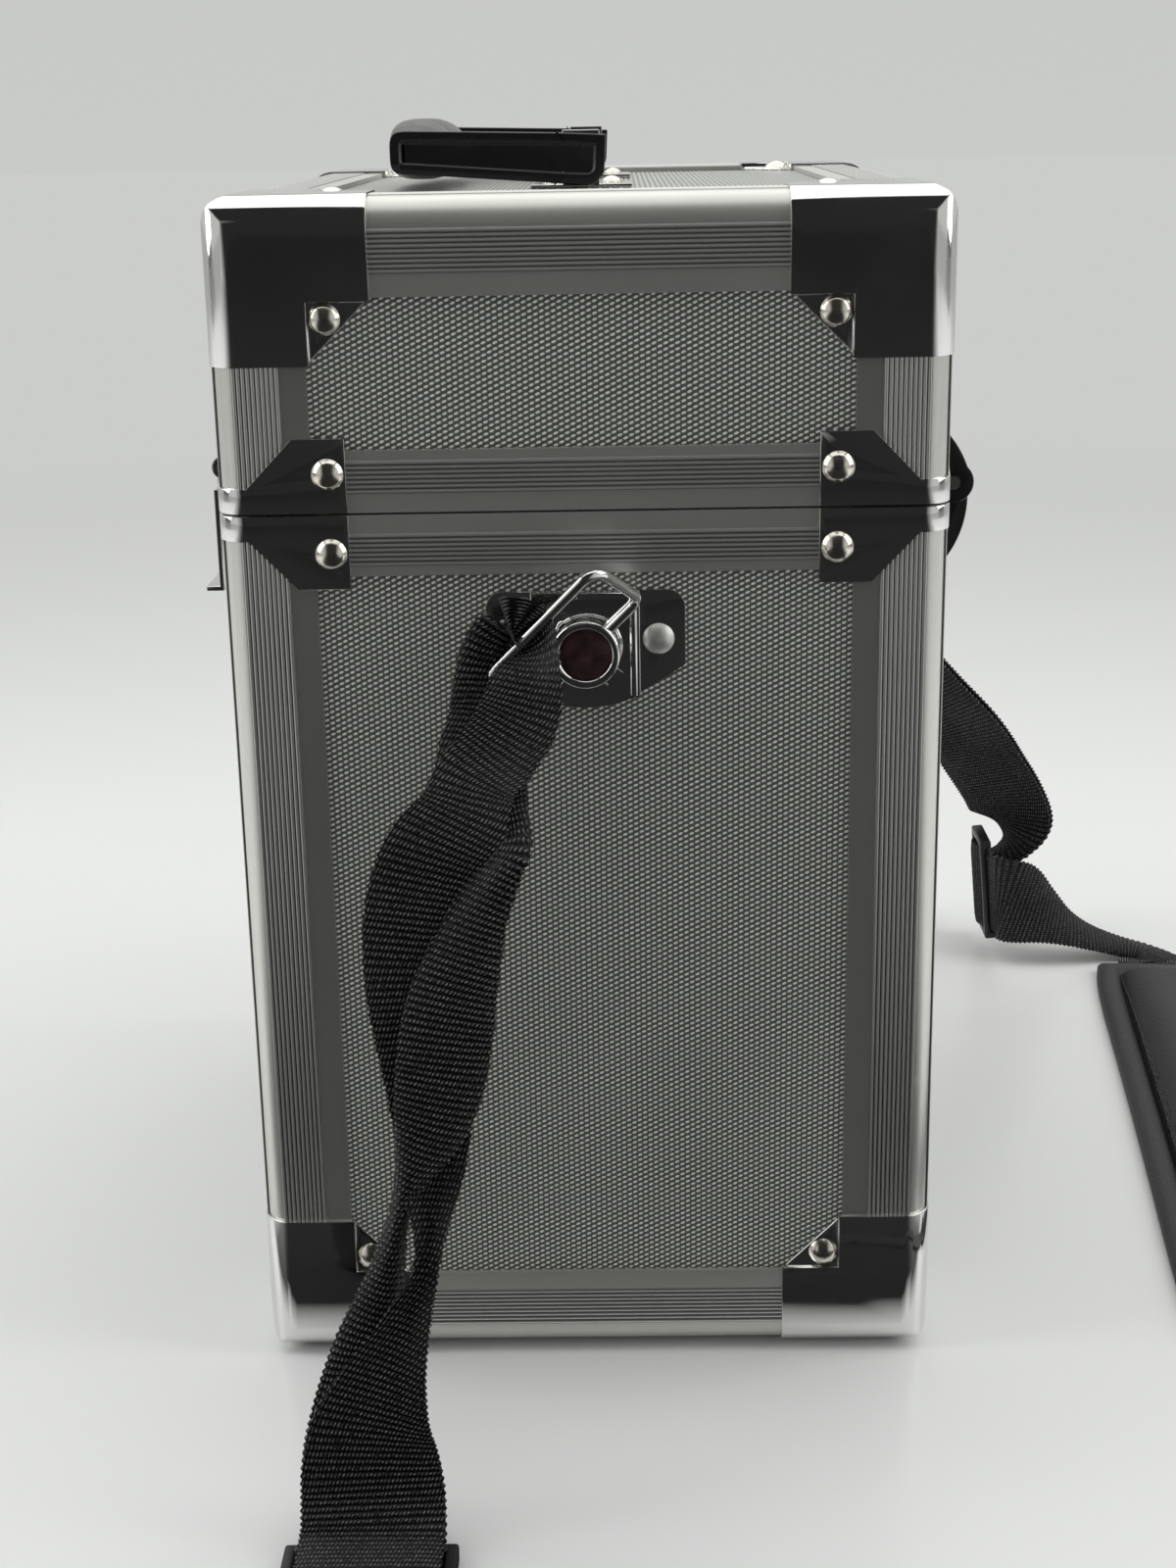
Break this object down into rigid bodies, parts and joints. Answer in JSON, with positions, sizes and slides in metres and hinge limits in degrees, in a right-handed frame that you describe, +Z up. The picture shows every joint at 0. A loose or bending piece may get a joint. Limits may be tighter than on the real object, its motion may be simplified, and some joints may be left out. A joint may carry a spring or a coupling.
{
  "type": "camcorder case",
  "caption": "Upright aluminium hard case with a hinged lid, chrome corners, twin latches, a fold-down handle, padded dividers and a webbing shoulder strap with pad.",
  "frame": {"origin": "under the middle of the closed case, at the level of the surface that it stands on", "axes": "+X towards the end face that the picture shows, +Y towards the hinges, -Y towards the latches, +Z up"},
  "size_m": [0.5678, 0.3839, 0.3657],
  "materials": {
    "rail_aluminium": "satin, anodised, ribbed",
    "embossed_sheet": "embossed in staggered raised dots",
    "plywood": "raw plywood, hidden inside the walls",
    "chrome": "bright chrome plate",
    "nickel_rivet": "polished nickel plate",
    "pin_steel": "turned steel",
    "black_plastic": "moulded, faintly glossy",
    "slider_plastic": "moulded, satin",
    "foam_lining": "fabric-faced foam",
    "webbing": "woven polypropylene webbing",
    "pad_leather": "grained leather cloth with sewn edges"
  },
  "bodies": {
    "case": {"body_posts": "rail_aluminium", "body_bottom_rails": "rail_aluminium", "body_mouth_rails": "rail_aluminium", "body_front_panel": "plywood", "body_back_panel": "plywood", "body_end_panels": "plywood", "body_floor_panel": "plywood", "body_skins": "embossed_sheet", "body_corners": "chrome", "body_mouth_brackets": "chrome", "body_corner_rivets": "nickel_rivet", "body_bracket_rivets": "nickel_rivet", "body_lining": "foam_lining", "cross_divider": "foam_lining", "side_divider": "foam_lining", "latch_catch_plates": "chrome", "latch_rivets": "nickel_rivet", "hinge_body_leaves": "black_plastic", "hinge_pins": "pin_steel", "hinge_body_rivets": "nickel_rivet", "lug_plates": "chrome", "lug_rivets": "nickel_rivet", "near_strap_loop": "webbing", "near_slider": "slider_plastic", "floor_webbing": "webbing", "shoulder_pad": "pad_leather", "far_webbing": "webbing", "far_slider": "slider_plastic", "far_strap_loop": "webbing"},
    "lid": {"lid_posts": "rail_aluminium", "lid_top_rails": "rail_aluminium", "lid_mouth_rails": "rail_aluminium", "lid_top_panel": "plywood", "lid_side_panels": "plywood", "lid_skins": "embossed_sheet", "lid_corners": "chrome", "lid_mouth_brackets": "chrome", "lid_corner_rivets": "nickel_rivet", "lid_bracket_rivets": "nickel_rivet", "lid_lining": "foam_lining", "handle_brackets": "chrome", "handle_pins": "pin_steel", "handle_rivets": "nickel_rivet", "latch_lid_plates": "chrome", "latch_pins": "pin_steel", "hinge_lid_leaves": "black_plastic", "hinge_lid_rivets": "nickel_rivet"},
    "handle": {"handle": "black_plastic"},
    "near_hasp": {"near_hasp": "chrome"},
    "far_hasp": {"far_hasp": "chrome"},
    "near_button": {"near_button": "chrome"},
    "far_button": {"far_button": "chrome"},
    "near_ring": {"near_ring": "chrome"},
    "far_ring": {"far_ring": "chrome"}
  },
  "joints": [
    {"name": "lid_hinge", "type": "hinge", "parent": "case", "child": "lid", "pos_m": [0, 0.1063, 0.2609], "axis": [-1, 0, 0], "range_deg": [0, 100]},
    {"name": "handle_fold", "type": "hinge", "parent": "lid", "child": "handle", "pos_m": [0, 0, 0.3522], "axis": [-1, 0, 0], "range_deg": [0, 100]},
    {"name": "near_hasp_flip", "type": "hinge", "parent": "lid", "child": "near_hasp", "pos_m": [0.082, -0.105, 0.2684], "axis": [-1, 0, 0], "range_deg": [0, 150]},
    {"name": "far_hasp_flip", "type": "hinge", "parent": "lid", "child": "far_hasp", "pos_m": [-0.082, -0.105, 0.2684], "axis": [-1, 0, 0], "range_deg": [0, 150]},
    {"name": "near_lug_swivel", "type": "hinge", "parent": "case", "child": "near_button", "pos_m": [0.1407, 0, 0.2222], "axis": [1, 0, 0], "range_deg": [-90, 90], "deforming": ["near_strap_loop"]},
    {"name": "far_lug_swivel", "type": "hinge", "parent": "case", "child": "far_button", "pos_m": [-0.1407, 0, 0.2222], "axis": [-1, 0, 0], "range_deg": [-90, 90], "deforming": ["far_strap_loop"]},
    {"name": "near_ring_tilt", "type": "hinge", "parent": "near_button", "child": "near_ring", "pos_m": [0.1407, 0, 0.2222], "axis": [0, 0.7071, 0.7071], "range_deg": [-47, 133]},
    {"name": "far_ring_tilt", "type": "hinge", "parent": "far_button", "child": "far_ring", "pos_m": [-0.1407, 0, 0.2222], "axis": [0, 0.4067, 0.9135], "range_deg": [-47, 133]}
  ]
}
